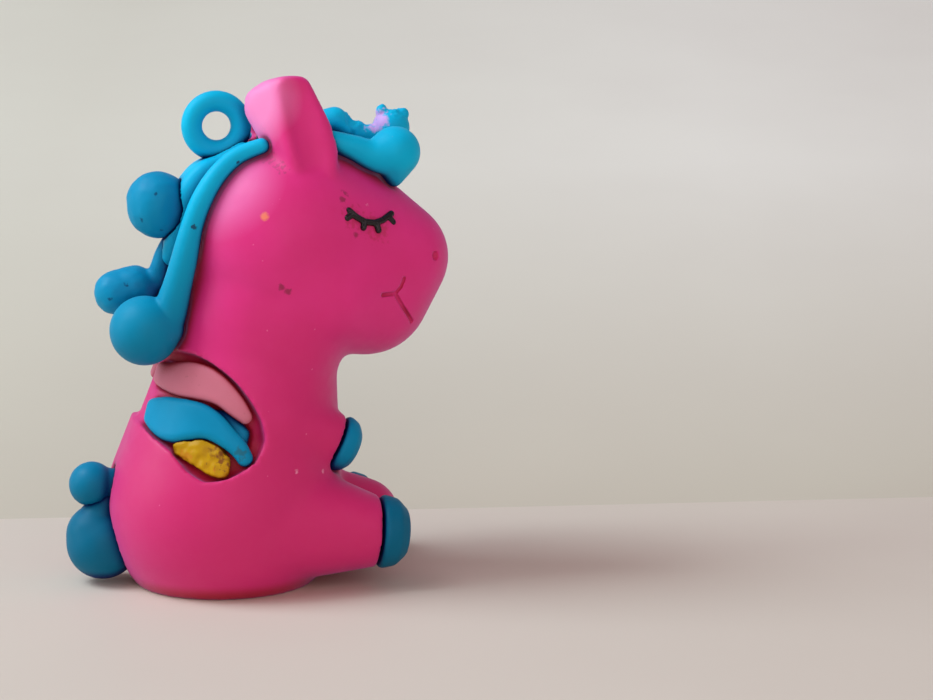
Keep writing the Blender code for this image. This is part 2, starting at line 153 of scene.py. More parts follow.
def wire(path, radius):
    """Groups of a strand of one thickness along a path."""
    return chain([(*point, radius) for point in path])


def rungs(rows):
    """Groups of a sheet that runs from row to row."""
    return [first + second for first, second in zip(rows, rows[1:])]


def curve(balls, steps=4):
    """The same strand with balls added between, so that it bends smoothly through every given ball."""
    ends = [balls[0]] + balls + [balls[-1]]
    made = []
    for before, here, there, after in zip(ends, ends[1:], ends[2:], ends[3:]):
        for step in range(steps):
            t = step / steps
            made.append(
                tuple(
                    b + 0.5 * t * (c - a + t * (2 * a - 5 * b + 4 * c - d + t * (3 * b - a - 3 * c + d)))
                    for a, b, c, d in zip(before, here, there, after)
                )
            )
    return made + [balls[-1]]


def cut(obj, cutter):
    """Takes cutter's shape out of obj."""
    boolean = obj.modifiers.new("cut", "BOOLEAN")
    boolean.object = cutter
    boolean.operation = "DIFFERENCE"
    boolean.solver = "MANIFOLD"
    bake(obj)
    bpy.data.objects.remove(cutter)


def box(name, point, normal, size=60.0):
    """A box whose one face passes through point, on the side that normal points to."""
    build = bmesh.new()
    bmesh.ops.create_cube(build, size=size * MM)
    direction = (at(*normal) - at(0, 0, 0)).normalized()
    turn = direction.to_track_quat("Z", "Y").to_matrix().to_4x4()
    shift = Matrix.Translation(at(*point) + direction * (size / 2) * MM)
    bmesh.ops.transform(build, matrix=shift @ turn, verts=build.verts)
    mesh = bpy.data.meshes.new(name)
    build.to_mesh(mesh)
    build.free()
    return place(name, mesh)


def roughen(obj, size, depth, centre, reach, fine):
    """Tears up the surface by noise: all over, or only within reach of a centre if one is given."""
    middle = at(*centre) if centre else None
    moved = []
    for vertex in obj.data.vertices:
        share = 1.0
        if middle:
            share = max(0.0, 1.0 - (vertex.co - middle).length / (reach * MM)) ** 0.5
        lift = noise.noise(vertex.co / (size * MM)) + fine * noise.noise(vertex.co / (size * 0.4 * MM))
        moved.append(vertex.co + vertex.normal * lift * depth * MM * share)
    for vertex, co in zip(obj.data.vertices, moved):
        vertex.co = co


# ---------------------------------------------------------------- where everything is

# Tables marked RIGHT are mirrored where the left side has no table of its own.
HEAD = [
    (3.8, 0.4, 40.2, 11.8),
    (3.8, -0.4, 40.2, 11.8),
    (16.1, 1.4, 38.1, 6.35),
    (16.1, -1.4, 38.1, 6.35),
    (9.0, 0.5, 42.6, 7.6),
    (9.0, -0.5, 42.6, 7.6),
    (12.9, 1.0, 34.4, 7.5),
    (12.9, -1.0, 34.4, 7.5),
    (7.5, 4.2, 35.8, 7.6),
    (7.5, -4.2, 35.8, 7.6),
]
TRUNK = [(-3.4, 1.2, 10.2, 13.2), (-3.4, -1.2, 10.2, 13.2), (-0.3, 0.0, 27.0, 9.9)]
NECK = [
    (-0.3, 0.0, 27.0, 9.9),
    (2.6, 0.5, 36.5, 10.4),
    (2.6, -0.5, 36.5, 10.4),
    (4.6, 3.6, 35.0, 7.6),
    (4.6, -3.6, 35.0, 7.6),
]
LAP = [(3.0, 0.0, 9.0, 6.5), (12.7, -0.4, 7.9, 4.3)]
ARM_RIGHT = [(1.0, 7.0, 20.6, 4.6), (7.0, 5.6, 18.7, 3.25), (8.3, 5.6, 18.1, 3.1)]
ARM_LEFT = [(1.0, -7.0, 20.6, 4.6), (6.1, -5.6, 18.3, 3.25), (7.3, -5.6, 17.7, 3.1)]
LEG_RIGHT = [(-1.5, 5.9, 9.9, 8.0), (7.0, 8.0, 8.5, 4.6), (12.4, 8.2, 7.9, 3.95)]
LEG_LEFT = [(-1.5, -5.9, 9.9, 8.0), (7.0, -8.0, 8.1, 4.6), (11.7, -8.2, 7.2, 3.95)]

# The ears are moulded with the head; each has a shallow hollow in its outer front face.
EAR_RIGHT = [
    (2.0, 3.2, 56.8, 1.3),
    (0.6, 3.2, 55.9, 1.3),
    (0.5, 3.3, 54.9, 1.3),
    (3.3, 5.9, 58.0, 0.6),
    (5.2, 4.8, 57.5, 1.1),
    (3.3, 6.3, 55.0, 0.7),
    (6.4, 5.3, 55.0, 1.0),
    (1.6, 4.0, 53.0, 1.3),
    (3.2, 7.2, 52.8, 0.7),
    (7.3, 5.9, 52.9, 1.1),
    (2.8, 5.2, 50.6, 1.3),
    (3.7, 7.9, 50.6, 0.8),
    (7.8, 6.4, 50.6, 1.2),
    (4.2, 6.8, 48.2, 1.3),
    (4.4, 8.2, 48.2, 0.9),
    (7.5, 7.2, 48.3, 1.3),
    (6.2, 8.0, 47.2, 1.2),
]
EAR_HOLLOW_RIGHT = [(4.9, 8.8, 57.4, 3.0), (6.4, 10.6, 50.6, 3.0), (6.6, 11.4, 48.0, 3.0)]
EAR_LEFT_SHIFT = (1.2, -1.7)

LOCK_RIGHT = [
    (0.7, 6.1, 51.1, 0.9),
    (-2.0, 5.9, 50.0, 1.0),
    (-4.3, 6.4, 48.0, 1.1),
    (-6.0, 6.8, 45.4, 1.2),
    (-7.1, 6.8, 42.6, 1.25),
    (-7.9, 6.6, 39.4, 1.45),
    (-8.7, 6.0, 36.2, 1.6),
    (-9.5, 5.4, 33.4, 1.9),
    (-10.4, 5.0, 31.6, 2.3),
]
LOCK_BALL_RIGHT = [(-10.6, 5.0, 31.4, 2.6), (-12.3, 4.7, 31.0, 3.85)]
LOCK_LEFT_SHIFT = 1.1
CREST = [
    [(-0.8, 1.4, 50.4, 0.9), (-0.8, -1.4, 50.4, 0.9)],
    [(-3.3, 1.2, 48.9, 1.1), (-3.3, -1.2, 48.9, 1.1)],
    [(-5.3, 1.5, 47.8, 1.3), (-5.3, -1.5, 47.8, 1.3)],
    [(-6.9, 1.6, 45.7, 1.4), (-6.9, -1.6, 45.7, 1.4)],
    [(-7.9, 1.4, 43.2, 1.4), (-7.9, -1.4, 43.2, 1.4)],
    [(-8.3, 1.0, 40.6, 1.3), (-8.3, -1.2, 40.6, 1.3)],
    [(-8.8, 0.2, 38.6, 1.1), (-8.8, -0.8, 38.6, 1.1)],
]
CURL_UPPER = [(-7.9, 0.0, 44.7, 2.0), (-10.2, 0.0, 44.7, 3.4), (-10.1, 0.0, 44.1, 3.45)]
CURL_MIDDLE = [(-8.7, -0.8, 40.4, 1.0), (-9.7, -1.1, 38.0, 1.1), (-10.4, -1.4, 36.0, 1.1)]
CURL_MIDDLE_BALL = [
    [(-10.5, -1.5, 35.8, 1.1), (-12.6, -2.0, 34.9, 2.0)],
    [(-12.7, -2.0, 34.9, 2.55), (-14.8, -2.0, 34.4, 2.5)],
]
LOOP_CENTRE = (-3.5, 0.0, 53.0)

FORELOCK_RIGHT = [
    (4.6, 3.9, 52.0, 1.1),
    (8.2, 4.9, 51.5, 1.2),
    (11.0, 4.9, 50.7, 1.4),
    (13.4, 4.6, 49.8, 1.8),
    (15.9, 4.0, 50.1, 2.85),
]
FORELOCK_TIP = [(15.9, 4.0, 50.1, 2.85), (15.9, 3.4, 47.1, 1.0)]
FORELOCK_LEFT = [
    (4.6, -2.9, 52.4, 1.1),
    (8.2, -2.7, 52.9, 1.4),
    (10.2, -2.5, 53.3, 1.55),
    (11.2, -2.5, 52.6, 1.2),
]
FORELOCK_TORN = [
    [(10.6, -2.5, 52.0, 0.9), (12.7, -2.5, 52.5, 0.9)],
    [(12.6, -2.5, 52.0, 0.9), (15.0, -2.6, 51.3, 0.9), (16.8, -2.8, 51.6, 1.2)],
    [(16.8, -2.8, 52.4, 2.15)],
    [(16.6, -2.8, 53.0, 1.2), (15.8, -2.8, 54.2, 0.8)],
    [(17.2, -2.8, 53.0, 1.3), (18.1, -2.8, 53.9, 0.8)],
]
FORELOCK_BASE = [
    [(2.0, 0.9, 51.6, 1.0), (2.0, -0.9, 51.6, 1.0)],
    [(8.4, 1.0, 51.4, 1.1), (8.4, -0.4, 51.4, 1.1)],
    [(12.0, 1.2, 50.0, 1.0), (12.0, 0.2, 50.0, 1.0)],
]

LASH_RIGHT = [
    (9.6, 9.8, 44.2),
    (10.4, 9.8, 43.5),
    (11.4, 9.5, 42.9),
    (12.6, 9.0, 42.7),
    (13.6, 8.3, 42.9),
    (14.8, 7.2, 43.5),
]
LASH_HAIRS = [
    [(10.0, 9.8, 43.8), (9.3, 10.2, 43.4)],
    [(11.4, 9.5, 42.9), (11.2, 9.8, 42.3)],
    [(12.8, 8.9, 42.7), (13.0, 9.1, 41.9)],
    [(14.4, 7.6, 43.2), (14.9, 7.6, 42.6)],
]
MOUTH_RIGHT = [
    [(16.0, 8.4, 36.4), (15.6, 8.4, 35.5), (14.9, 8.7, 34.8)],
    [(13.3, 9.5, 34.8), (14.9, 8.7, 34.8)],
    [(14.9, 8.7, 34.8), (15.8, 7.9, 33.4), (17.3, 6.1, 31.2)],
]
NOSTRIL_RIGHT = (20.1, 6.4, 38.6, 0.6)

# Wings: points near the right side of the trunk. A feather is rows of its upper and lower edge from the
# back to its tip, and its slab is (half its thickness, how deep its middle lies under the trunk's surface).
FEATHER_UPPER = [
    ((-11.0, 1.6, 26.6), (-11.3, 2.0, 25.5)),
    ((-10.3, 3.8, 26.8), (-10.7, 4.6, 25.2)),
    ((-9.0, 5.8, 27.1), (-9.5, 7.0, 24.9)),
    ((-7.2, 7.6, 27.1), (-7.9, 8.8, 24.8)),
    ((-5.7, 8.9, 26.6), (-6.3, 9.9, 24.6)),
    ((-4.3, 9.9, 25.5), (-4.9, 10.7, 24.1)),
    ((-3.0, 10.8, 23.9), (-3.4, 11.2, 23.0)),
    ((-2.1, 11.5, 22.3), (-2.2, 11.5, 22.2)),
]
FEATHER_UPPER_SLAB = (0.75, 1.0)
FEATHER_MIDDLE = [
    ((-12.2, 3.9, 22.8), (-12.5, 4.4, 21.4)),
    ((-11.0, 6.2, 23.3), (-11.5, 7.2, 20.4)),
    ((-9.7, 7.7, 23.3), (-10.2, 9.0, 20.2)),
    ((-8.2, 8.9, 23.2), (-8.7, 9.9, 20.5)),
    ((-6.6, 10.0, 22.7), (-7.1, 10.8, 20.8)),
    ((-5.2, 10.9, 21.7), (-5.8, 11.4, 20.5)),
    ((-4.1, 11.7, 20.4), (-4.5, 11.9, 19.8)),
    ((-3.0, 12.3, 19.2), (-3.3, 12.4, 18.9)),
    ((-2.3, 12.8, 17.9), (-2.4, 12.8, 17.8)),
]
FEATHER_MIDDLE_SLAB = (0.85, 0.9)
FEATHER_UNDERLAY = [
    ((-6.4, 10.2, 22.6), (-6.6, 10.4, 22.2)),
    ((-4.2, 11.0, 22.2), (-4.6, 11.5, 20.8)),
    ((-2.3, 12.0, 20.6), (-2.7, 12.2, 19.4)),
]
FEATHER_UNDERLAY_SLAB = (0.7, 2.1)
FEATHER_LOWER = [
    ((-9.9, 9.2, 19.4), (-9.7, 9.9, 18.5)),
    ((-8.6, 10.3, 19.8), (-8.7, 11.3, 17.8)),
    ((-7.4, 11.2, 19.8), (-7.5, 12.0, 17.2)),
    ((-6.2, 11.8, 19.6), (-6.2, 12.6, 16.8)),
    ((-5.1, 12.3, 19.0), (-5.0, 13.0, 16.4)),
    ((-4.3, 12.6, 18.2), (-4.5, 12.9, 17.2)),
]
FEATHER_LOWER_SLAB = (0.6, 1.15)
# The pocket's upper and lower edge from the back's middle to its front, and its depth there.
POCKET_ROWS = [
    ((-10.6, -0.3, 27.6), (-13.2, -0.3, 21.2), 0.5),
    ((-10.4, 2.6, 27.9), (-13.0, 3.2, 21.4), 0.9),
    ((-9.2, 4.9, 28.0), (-12.0, 6.5, 20.7), 1.7),
    ((-7.7, 6.9, 27.9), (-9.9, 10.0, 19.1), 2.0),
    ((-6.1, 8.4, 27.2), (-8.4, 11.9, 17.2), 2.1),
    ((-4.0, 10.0, 25.6), (-6.9, 12.8, 16.3), 2.1),
    ((-2.3, 11.1, 23.5), (-4.9, 13.1, 16.5), 2.1),
    ((-1.2, 11.8, 21.5), (-3.2, 13.0, 17.2), 2.1),
    ((-0.9, 12.3, 19.8), (-1.7, 12.8, 18.3), 2.1),
]
POCKET_BALL = 0.8

# Centre of the cap's flat side, direction it faces, radius and height.
FORE_HOOF_RIGHT = ((8.7, 5.6, 17.85), (0.89, 0.0, -0.456), FORE_HOOF_RADIUS, FORE_HOOF_HEIGHT)
FORE_HOOF_LEFT = ((7.7, -5.6, 17.45), (0.89, 0.0, -0.456), FORE_HOOF_RADIUS, FORE_HOOF_HEIGHT)
HIND_HOOF_RIGHT = ((13.0, 8.2, 7.9), (0.995, 0.0, -0.10), HIND_HOOF_RADIUS, HIND_HOOF_HEIGHT)
HIND_HOOF_LEFT = ((12.3, -8.2, 7.2), (0.995, 0.0, -0.10), HIND_HOOF_RADIUS, HIND_HOOF_HEIGHT)
TAIL_LOWER = [
    [(-17.1, 0.0, 6.3, 4.1), (-17.8, 0.0, 7.3, 3.4)],
    [(-17.3, 0.0, 9.2, 2.4), (-16.4, 0.0, 11.8, 1.2)],
]
TAIL_UPPER = [
    [(-18.2, 0.0, 13.1, 2.55)],
    [(-18.2, 0.0, 13.1, 1.8), (-15.9, 0.0, 12.9, 1.9)],
]


def sunk(point, depth):
    """The point this far under the trunk's surface that lies straight below the given one."""
    low, _, top = TRUNK
    point = Vector(point)
    best = None
    steps = 40
    for step in range(steps + 1):
        share = step / steps
        forward, spread, up, radius = (a + (b - a) * share for a, b in zip(low, top))
        centre = Vector((forward, max(-spread, min(spread, point.y)), up))
        away = (point - centre).length - radius
        if best is None or away < best[0]:
            best = (away, centre, radius)
    _, centre, radius = best
    return tuple(centre + (point - centre).normalized() * (radius - depth))


def feather(rows, slab):
    """Hull groups of a flat feather that follows the side of the trunk."""
    half, depth = slab
    flat = curve([(*upper, *lower) for upper, lower in rows], 3)
    return rungs([[(*sunk(row[:3], depth), half), (*sunk(row[3:], depth), half)] for row in flat])


def pocket():
    """Hull groups of the steep-walled pocket that the right wing lies in."""
    rows = []
    for upper, lower, depth in POCKET_ROWS:
        bottom = depth - POCKET_BALL
        rows.append([(*sunk(point, d), POCKET_BALL) for point in (upper, lower) for d in (bottom, -1.0)])
    return rungs(rows)


def hoof(centre, axis, radius, height):
    """Hull groups of a domed cap with a tapered peg behind it."""
    centre = Vector(centre)
    axis = Vector(axis).normalized()
    across = axis.orthogonal().normalized()
    along = axis.cross(across)
    edge = 0.5
    dome = []
    for reach, rise, count in ((1.0, 0.0, 28), (0.92, 0.44, 24), (0.66, 0.8, 16), (0.0, 1.0, 1)):
        for step in range(count):
            turn = 2 * math.pi * step / count
            out = (across * math.cos(turn) + along * math.sin(turn)) * (radius - edge) * reach
            dome.append((*(centre + out + axis * (edge + rise * (height - 2 * edge))), edge))
    peg = [(*(centre + axis * 0.9), radius * 0.55), (*(centre - axis * 1.2), radius * 0.4)]
    return [dome, peg]


def ring_path(centre, radius, count=40):
    """Points round an upright ring that is seen from the side."""
    turns = [2 * math.pi * i / count for i in range(count + 1)]
    return [(centre[0] + radius * math.cos(t), centre[1], centre[2] + radius * math.sin(t)) for t in turns]


# ---------------------------------------------------------------- materials


class Tree:
    """Short names for wiring a material's nodes."""

    def __init__(self, name):
        self.material = bpy.data.materials.new(name)
        self.material.use_nodes = True
        self.nodes = self.material.node_tree.nodes
        self.links = self.material.node_tree.links
        self.shader = self.nodes["Principled BSDF"]
        self.place = self.nodes.new("ShaderNodeTexCoord").outputs["Object"]

    def node(self, kind, inputs=(), **settings):
        made = self.nodes.new(kind)
        for key, value in settings.items():
            setattr(made, key, value)
        for key, value in dict(inputs).items():
            self.feed(made.inputs[key], value)
        return made

    def feed(self, socket, value):
        if isinstance(value, bpy.types.NodeSocket):
            self.links.new(value, socket)
        else:
            socket.default_value = value

    def noise(self, size_mm, detail=2.0, rough=0.5):
        made = self.node("ShaderNodeTexNoise", {"Vector": self.place, "Scale": 1 / (size_mm * MM)})
        made.inputs["Detail"].default_value = detail
        made.inputs["Roughness"].default_value = rough
        return made.outputs["Fac"]

    def span(self, value, low, high, to_low=0.0, to_high=1.0):
        made = self.node("ShaderNodeMapRange", {"Value": value, "From Min": low, "From Max": high})
        made.inputs["To Min"].default_value = to_low
        made.inputs["To Max"].default_value = to_high
        return made.outputs["Result"]

    def maths(self, how, a, b):
        return self.node("ShaderNodeMath", {0: a, 1: b}, operation=how).outputs[0]

    def blend(self, amount, under, over):
        made = self.node("ShaderNodeMix", data_type="RGBA")
        self.feed(made.inputs[0], amount)
        self.feed(made.inputs[6], under)
        self.feed(made.inputs[7], over)
        return made.outputs[2]

    def near(self, point, reach, ragged=0.0):
        """1 at a point of the figure, falling to 0 at reach millimetres, with a ragged edge if asked."""
        away = self.node("ShaderNodeVectorMath", {0: self.place, 1: at(*point)}, operation="DISTANCE")
        away = away.outputs["Value"]
        if ragged:
            fray = self.span(self.noise(0.5, 3), 0.3, 0.7, -ragged * MM, ragged * MM)
            away = self.maths("ADD", away, fray)
        return self.span(away, reach * MM, reach * 0.5 * MM)

    def crevice_shade(self, reach):
        """1 deep in gaps and corners, 0 on open surface: the mask of the shade painted there."""
        shade = self.node("ShaderNodeAmbientOcclusion", {"Distance": reach * MM}, samples=8)
        return self.span(shade.outputs["AO"], 0.80, 0.38)


def rgb(red, green, blue):
    return (red, green, blue, 1.0)


# How far the shade painted into gaps and corners reaches, in millimetres.
CREVICE_SHADE_REACH = 2.2
GLOW_COLOUR, GLOW_DEPTH = (1.0, 0.35, 0.45), 1.4
# Fine and broad bumps: (size in millimetres, strength, depth in millimetres).
GRAIN, SWELL = (0.16, 0.14, 0.03), (2.4, 0.30, 0.10)


def pvc(name, colour, deep, gap_shade, roughness, glow, shine, sheen=None, foot=None):
    """Satin soft PVC: colour drifts slightly, is painted deeper as shade in gaps and corners, and lets a
    little light in.

    A foot, (colour, height where it starts, height where it is full), is shade painted on it low down,
    where less light falls.
    """
    tree = Tree(name)
    drift = tree.span(tree.noise(7.0, 3), 0.35, 0.65)
    base = tree.blend(drift, rgb(*colour), rgb(*deep))
    # Shade painted low down, where less light falls.
    if foot:
        height = tree.node("ShaderNodeSeparateXYZ", {0: tree.place}).outputs["Z"]
        base = tree.blend(tree.span(height, foot[1] * MM, foot[2] * MM), base, rgb(*foot[0]))
    # Shade painted deeper into gaps and corners.
    tree.base = tree.blend(tree.crevice_shade(CREVICE_SHADE_REACH), base, rgb(*gap_shade))
    mottle = tree.span(tree.noise(1.6, 4, 0.6), 0.3, 0.7, roughness - 0.06, roughness + 0.07)
    tree.feed(tree.shader.inputs["Roughness"], mottle)
    tree.shader.inputs["Subsurface Weight"].default_value = glow
    tree.shader.inputs["Subsurface Radius"].default_value = GLOW_COLOUR
    tree.shader.inputs["Subsurface Scale"].default_value = GLOW_DEPTH * MM
    tree.shader.inputs["Specular IOR Level"].default_value = shine
    if sheen:
        tree.shader.inputs["Sheen Weight"].default_value = sheen[0]
        tree.shader.inputs["Sheen Roughness"].default_value = 0.5
        tree.shader.inputs["Sheen Tint"].default_value = rgb(*sheen[1])
    size, strength, depth = GRAIN
    grain = tree.noise(size, 3, 0.6)
    small = tree.node("ShaderNodeBump", {"Height": grain, "Strength": strength, "Distance": depth * MM})
    size, strength, depth = SWELL
    swell = tree.noise(size, 2, 0.5)
    large = tree.node("ShaderNodeBump", {"Height": swell, "Strength": strength, "Distance": depth * MM})
    tree.feed(large.inputs["Normal"], small.outputs["Normal"])
    tree.feed(tree.shader.inputs["Normal"], large.outputs["Normal"])
    return tree


def mark(tree, spots, ragged, colour, strength=1.0):
    """Colours the surface near each spot, a (point, reach) pair."""
    amount = 0.0
    for point, reach in spots:
        amount = tree.maths("MAXIMUM", tree.near(point, reach, ragged), amount)
    tree.base = tree.blend(tree.maths("MULTIPLY", amount, strength), tree.base, rgb(*colour))


def dusted(tree, size, threshold, colour, strength):
    """Scatters small specks all over; a higher threshold leaves fewer."""
    edge = 0.025
    specks = tree.span(tree.noise(size, 2, 0.5), threshold, threshold + edge, 0.0, strength)
    tree.base = tree.blend(specks, tree.base, rgb(*colour))


def finish_material(tree):
    tree.feed(tree.shader.inputs["Base Color"], tree.base)


# The dark red and the navy are shade painted into the gaps and corners of the pink and the blue pieces.
LILAC, SHADE_RED, SHADE_NAVY = (0.60, 0.42, 1.0), (0.46, 0.002, 0.016), (0.0, 0.018, 0.13)
# Shade painted low down on a colour, where less light falls: (colour, height where it starts, height where
# it is full).
PINK_LOW_SHADE = ((0.67, 0.010, 0.155), 33, 17)
BLUE_LOW_SHADE = ((0.0, 0.22, 0.38), 46, 27)
SHADED_BLUE_LOW_SHADE = ((0.0, 0.15, 0.26), 18, 8)
HOT_PINK, DEEP_PINK = (0.80, 0.018, 0.235), (0.76, 0.015, 0.21)
BRIGHT_BLUE, DEEP_BLUE = (0.0, 0.56, 0.84), (0.0, 0.51, 0.78)
# A darker copy of the blue: shade painted on the curls, tail and hooves, which get less light.
SHADED_BLUE, DEEP_SHADED_BLUE = (0.0, 0.30, 0.52), (0.0, 0.27, 0.47)
WING_BLUE, DEEP_WING_BLUE = (0.0, 0.31, 0.53), (0.0, 0.27, 0.47)
pink = pvc("hot_pink_pvc", HOT_PINK, DEEP_PINK, SHADE_RED, 0.52, 0.15, 0.45, (0.3, LILAC), PINK_LOW_SHADE)
blue = pvc("bright_blue_pvc", BRIGHT_BLUE, DEEP_BLUE, SHADE_NAVY, 0.48, 0.05, 0.14, foot=BLUE_LOW_SHADE)
shaded_blue = pvc("shaded_blue_pvc", SHADED_BLUE, DEEP_SHADED_BLUE, SHADE_NAVY, 0.48, 0.05, 0.14, foot=SHADED_BLUE_LOW_SHADE)
wing_blue = pvc("wing_blue_pvc", WING_BLUE, DEEP_WING_BLUE, SHADE_NAVY, 0.48, 0.05, 0.14)
pale = pvc("pale_pink_pvc", (0.66, 0.20, 0.27), (0.60, 0.18, 0.24), (0.30, 0.01, 0.02), 0.6, 0.1, 0.25)
yellow = pvc("yellow_pvc", (0.60, 0.36, 0.001), (0.46, 0.27, 0.001), (0.16, 0.04, 0.001), 0.42, 0.08, 0.2)
INK, DEEP_INK = (0.004, 0.003, 0.004), (0.007, 0.005, 0.006)
black = pvc("black_pvc", INK, DEEP_INK, INK, 0.24, 0.0, 0.4)

# Wear and dirt on the pink body: an orange fleck, dark flecks, smears round the eye and at the ear's root,
# chalky dots and fine pale specks.
ORANGE_FLECK = [((0.2, 11.05, 43.9), 0.55)]
mark(pink, ORANGE_FLECK, 0.1, (0.95, 0.26, 0.10))
FLECKS = [(1.9, 11.4, 36.2), (2.6, 11.4, 35.8), (9.4, 9.0, 46.1), (9.0, 9.7, 45.4), (10.4, 10.4, 41.6)]
mark(pink, [(point, 0.46) for point in FLECKS], 0.2, (0.30, 0.008, 0.05), 0.8)
EYE_SMEARS = [((10.2, 9.9, 43.4), 1.5), ((12.8, 9.0, 42.2), 1.6)]
mark(pink, EYE_SMEARS, 0.9, (0.56, 0.01, 0.08), 0.6)
EAR_DIRT = [((0.2, 5.6, 52.6), 0.9), ((1.2, 6.8, 49.9), 0.9), ((2.4, 8.0, 48.6), 0.7)]
mark(pink, EAR_DIRT, 0.8, (0.36, 0.03, 0.10), 0.5)
CHALKY = [(6.8, 9.3, 15.4), (-3.1, 10.9, 26.7), (13.2, 6.4, 47.9), (3.4, 8.3, 48.0), (3.4, 11.8, 15.9)]
mark(pink, [(point, 0.36) for point in CHALKY], 0.15, (0.92, 0.45, 0.62), 0.8)
dusted(pink, 0.9, 0.765, (0.90, 0.30, 0.50), 0.35)
# Painted light: the ear's back and tip, and the back of the head, which face the light, are painted paler.
EAR_PAINTED_LIGHT = [((-0.2, 3.9, 55.6), 6.0)]
HEAD_PAINTED_LIGHT = [((-3.5, 7.5, 47.5), 6.8)]
mark(pink, EAR_PAINTED_LIGHT, 0.0, (1.0, 0.30, 0.62), 0.85)
mark(pink, HEAD_PAINTED_LIGHT, 0.0, (0.86, 0.19, 0.50), 0.5)
# On the blue pieces: a pale lilac patch on the left side of the torn forelock; wear: dark pits and fine
# specks.
LILAC_PATCH = [((15.0, -1.6, 53.2), 1.5), ((15.4, -2.6, 53.6), 1.2)]
mark(blue, LILAC_PATCH, 0.5, (0.72, 0.44, 0.86), 0.9)
PITS = [(-1.9, 7.0, 49.4), (-7.0, 7.9, 42.6)]
UPPER_CURL_PITS = [(-10.6, 3.2, 45.8), (-9.9, 2.6, 41.6), (-12.1, 2.4, 43.0)]
MIDDLE_CURL_PITS = [(-13.9, 0.4, 35.6), (-15.6, 0.2, 34.0)]
mark(blue, [(point, 0.30) for point in PITS], 0.2, (0.01, 0.03, 0.08), 0.85)
mark(shaded_blue, [(point, 0.30) for point in UPPER_CURL_PITS + MIDDLE_CURL_PITS], 0.2, (0.0, 0.05, 0.14), 0.8)
mark(wing_blue, [((-3.0, 12.8, 18.3), 0.8)], 0.5, (0.02, 0.16, 0.22), 0.8)
dusted(blue, 0.8, 0.76, (0.10, 0.50, 0.70), 0.4)
dusted(shaded_blue, 0.8, 0.75, (0.04, 0.34, 0.50), 0.4)
# Wear on the pale and yellow feathers: specks, and brown and orange dirt in the torn end; the brown is
# partly shade painted into the crevice there.
dusted(pale, 0.6, 0.72, (0.46, 0.14, 0.18), 0.5)
BROWN_DIRT_AND_SHADE = [((-4.7, 12.4, 18.9), 1.6), ((-5.0, 12.6, 17.6), 0.9)]
ORANGE_DIRT = [((-8.9, 10.6, 18.0), 1.0), ((-6.2, 12.6, 16.6), 0.6)]
mark(yellow, BROWN_DIRT_AND_SHADE, 0.7, (0.22, 0.07, 0.012), 0.9)
mark(yellow, ORANGE_DIRT, 0.4, (0.66, 0.26, 0.02), 0.6)
dusted(yellow, 0.7, 0.70, (0.18, 0.08, 0.01), 0.5)
for tree in (pink, blue, shaded_blue, wing_blue, pale, yellow, black):
    finish_material(tree)

# ---------------------------------------------------------------- the pieces


def finish_piece(obj, tree, slot, *nodes):
    obj.data.materials.clear()
    obj.data.materials.append(tree.material)
    obj.data.shade_smooth()
    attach(obj, "root")
    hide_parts(*nodes)
    return obj


LOCK = chain(curve(LOCK_RIGHT)) + [LOCK_BALL_RIGHT]
BLUE_PIECES = {
    "keyring_loop": wire(ring_path(LOOP_CENTRE, LOOP_RADIUS), LOOP_WIRE),
    "forelock_base": rungs(FORELOCK_BASE),
    "mane_upper_curl": [CURL_UPPER],
    "mane_middle_curl": chain(curve(CURL_MIDDLE)) + CURL_MIDDLE_BALL,
    "mane_crest": rungs([[row[:4], row[4:]] for row in curve([(*a, *b) for a, b in CREST], 3)]),
    "tail_lower_curl": TAIL_LOWER,
    "tail_upper_curl": TAIL_UPPER,
    "forelock_right": chain(curve(FORELOCK_RIGHT)) + [FORELOCK_TIP],
    "forelock_left": chain(FORELOCK_LEFT) + FORELOCK_TORN,
    "fore_hoof_right": hoof(*FORE_HOOF_RIGHT),
    "fore_hoof_left": hoof(*FORE_HOOF_LEFT),
    "hind_hoof_right": hoof(*HIND_HOOF_RIGHT),
    "hind_hoof_left": hoof(*HIND_HOOF_LEFT),
    "mane_lock_right": LOCK,
    "mane_lock_left": shifted(mirrored(LOCK), LOCK_LEFT_SHIFT),
}
# Blue pieces whose name starts so get the darker copy of the blue: shade painted on the pieces that get
# less light.
SHADED_PIECES = ("mane_upper", "mane_middle", "tail", "fore_hoof", "hind_hoof")
PIECES = {}
for name, groups in BLUE_PIECES.items():
    PIECES[name] = (groups, shaded_blue if name.startswith(SHADED_PIECES) else blue, "blue_rubber")
BOTH = (("right", list), ("left", mirrored))
for side, turned in BOTH:
    lashes = [group for line in [LASH_RIGHT] + LASH_HAIRS for group in wire(line, LASH_WIRE)]
    PIECES["eye_" + side] = (turned(lashes), black, "black_rubber")
    upper = feather(FEATHER_UPPER, FEATHER_UPPER_SLAB)
    PIECES["feather_upper_" + side] = (turned(upper), pale, "pale_pink_rubber")
    rows = FEATHER_MIDDLE if side == "right" else FEATHER_MIDDLE[1:]
    middle = feather(rows, FEATHER_MIDDLE_SLAB) + feather(FEATHER_UNDERLAY, FEATHER_UNDERLAY_SLAB)
    PIECES["feather_middle_" + side] = (turned(middle), wing_blue, "blue_rubber")
    lower = feather(FEATHER_LOWER, FEATHER_LOWER_SLAB)
    PIECES["feather_lower_" + side] = (turned(lower), yellow, "yellow_rubber")

